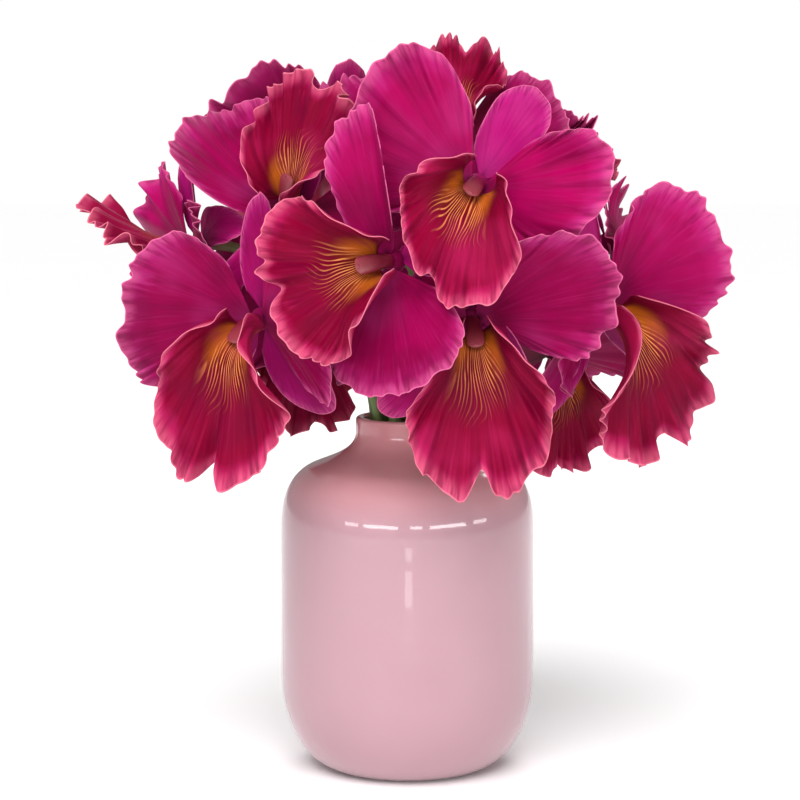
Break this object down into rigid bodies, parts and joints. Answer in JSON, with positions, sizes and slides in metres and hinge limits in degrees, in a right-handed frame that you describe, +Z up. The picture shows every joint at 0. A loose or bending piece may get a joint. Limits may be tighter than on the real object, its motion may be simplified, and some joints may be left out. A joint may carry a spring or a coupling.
{
  "type": "cattleya orchids in vase",
  "caption": "Bouquet of large ruffled crimson-magenta cattleya orchids on bare green stems in a glossy pink bottle vase with a short neck, part filled with water.",
  "frame": {"origin": "middle of the vase's flat foot, on the vase's axis, on the surface that it stands on", "axes": "+Z up along the vase's axis, -Y towards the viewer of the pictured side, +X to that viewer's right"},
  "size_m": [0.3194, 0.2534, 0.3664],
  "materials": {
    "vase": "gloss",
    "water": "gloss",
    "tepals": "satin",
    "lip": "satin",
    "column": "satin",
    "stem": "satin"
  },
  "bodies": {
    "root": {"vase": "vase", "water": "water", "bloom_01_tepals": "tepals", "bloom_01_lip": "lip", "bloom_01_column": "column", "bloom_01_stem": "stem", "bloom_02_tepals": "tepals", "bloom_02_lip": "lip", "bloom_02_column": "column", "bloom_02_stem": "stem", "bloom_03_tepals": "tepals", "bloom_03_lip": "lip", "bloom_03_column": "column", "bloom_03_stem": "stem", "bloom_04_tepals": "tepals", "bloom_04_lip": "lip", "bloom_04_column": "column", "bloom_04_stem": "stem", "bloom_05_tepals": "tepals", "bloom_05_lip": "lip", "bloom_05_column": "column", "bloom_05_stem": "stem", "bloom_06_tepals": "tepals", "bloom_06_lip": "lip", "bloom_06_column": "column", "bloom_06_stem": "stem", "bloom_07_tepals": "tepals", "bloom_07_lip": "lip", "bloom_07_column": "column", "bloom_07_stem": "stem", "bloom_08_tepals": "tepals", "bloom_08_lip": "lip", "bloom_08_column": "column", "bloom_08_stem": "stem", "bloom_09_tepals": "tepals", "bloom_09_lip": "lip", "bloom_09_column": "column", "bloom_09_stem": "stem", "bloom_10_tepals": "tepals", "bloom_10_lip": "lip", "bloom_10_column": "column", "bloom_10_stem": "stem", "bloom_11_tepals": "tepals", "bloom_11_lip": "lip", "bloom_11_column": "column", "bloom_11_stem": "stem", "bloom_12_tepals": "tepals", "bloom_12_lip": "lip", "bloom_12_column": "column", "bloom_12_stem": "stem", "bloom_13_tepals": "tepals", "bloom_13_lip": "lip", "bloom_13_column": "column", "bloom_13_stem": "stem", "bloom_14_tepals": "tepals", "bloom_14_lip": "lip", "bloom_14_column": "column", "bloom_14_stem": "stem"}
  },
  "joints": []
}
